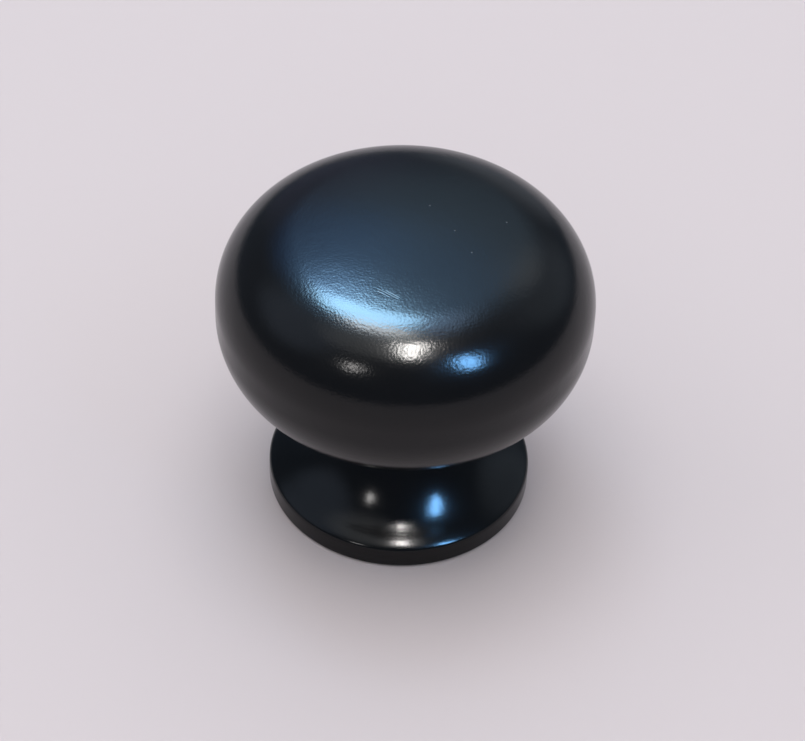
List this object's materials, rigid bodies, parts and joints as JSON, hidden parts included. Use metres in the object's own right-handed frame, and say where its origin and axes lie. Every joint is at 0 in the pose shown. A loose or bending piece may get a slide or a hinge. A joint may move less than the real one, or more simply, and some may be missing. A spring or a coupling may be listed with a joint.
{
  "type": "cabinet knob",
  "caption": "Round mushroom cabinet knob with a gently domed head, a waisted neck and a flared foot, fixed from behind by a machine screw in a tapped blind hole.",
  "frame": {"origin": "centre of the foot's flat face, which seats on the door or drawer front", "axes": "+Z along the knob's axis, out of the door and towards the crown; X and Y are alike, as the knob is round"},
  "size_m": [0.038, 0.038, 0.0347],
  "materials": {
    "black_finish": "satin"
  },
  "bodies": {
    "root": {"knob": "black_finish"}
  },
  "joints": []
}
